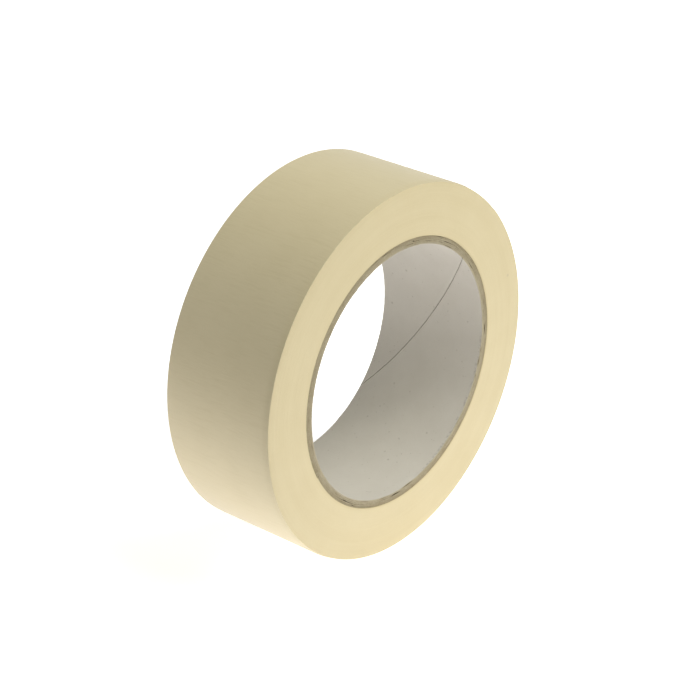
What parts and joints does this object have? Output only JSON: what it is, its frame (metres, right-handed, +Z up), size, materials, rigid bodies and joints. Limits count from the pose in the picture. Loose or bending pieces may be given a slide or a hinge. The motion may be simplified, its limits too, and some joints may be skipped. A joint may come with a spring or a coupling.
{
  "type": "masking tape roll",
  "caption": "Roll of crepe paper masking tape on a spirally wound paperboard core, standing on its rim, with a free end that peels and curls away from the roll.",
  "frame": {"origin": "the middle of the bore, on the roll's axis, half way across the tape's width", "axes": "+Y along the roll's axis, towards its rear side; +Z up, so that the roll stands on its rim; -Y is the side seen in the picture; +X is the side where the free end leaves the roll"},
  "size_m": [0.1123, 0.0376, 0.1118],
  "materials": {
    "wound_tape": "edges of many turns of waxy crepe paper, very fine concentric lines, matt with a slight sheen",
    "tape_backing": "saturated crepe paper with fine wrinkles across the tape, matt",
    "liner_paper": "smooth grey recycled paper with a few specks and a helical butt seam, matt",
    "core_board": "grey-brown recycled board, cut edges rough and matt"
  },
  "bodies": {
    "roll": {"core_liner_ply": "liner_paper", "core_board_ply_1": "core_board", "core_board_ply_2": "core_board", "core_board_ply_3": "core_board", "core_board_ply_4": "core_board", "tape_inner_turns": "wound_tape", "tape_outer_turn": "tape_backing"},
    "free_end_root": {"free_end_root": "tape_backing"},
    "free_end_middle": {"free_end_middle": "tape_backing"},
    "free_end_tip": {"free_end_tip": "tape_backing"}
  },
  "joints": [
    {"name": "free_end_peel", "type": "hinge", "parent": "roll", "child": "free_end_root", "pos_m": [0.05564, 0, 0.00733], "axis": [0, 1, 0], "range_deg": [0, 90]},
    {"name": "free_end_bend", "type": "hinge", "parent": "free_end_root", "child": "free_end_middle", "pos_m": [0.05315, 0, 0.01804], "axis": [0, 1, 0], "range_deg": [0, 45]},
    {"name": "free_end_curl", "type": "hinge", "parent": "free_end_middle", "child": "free_end_tip", "pos_m": [0.04861, 0, 0.02807], "axis": [0, 1, 0], "range_deg": [0, 45]}
  ],
  "couplings": [
    {"joint": "free_end_bend", "follows": "free_end_peel", "ratio": 0.5},
    {"joint": "free_end_curl", "follows": "free_end_peel", "ratio": 0.5}
  ]
}
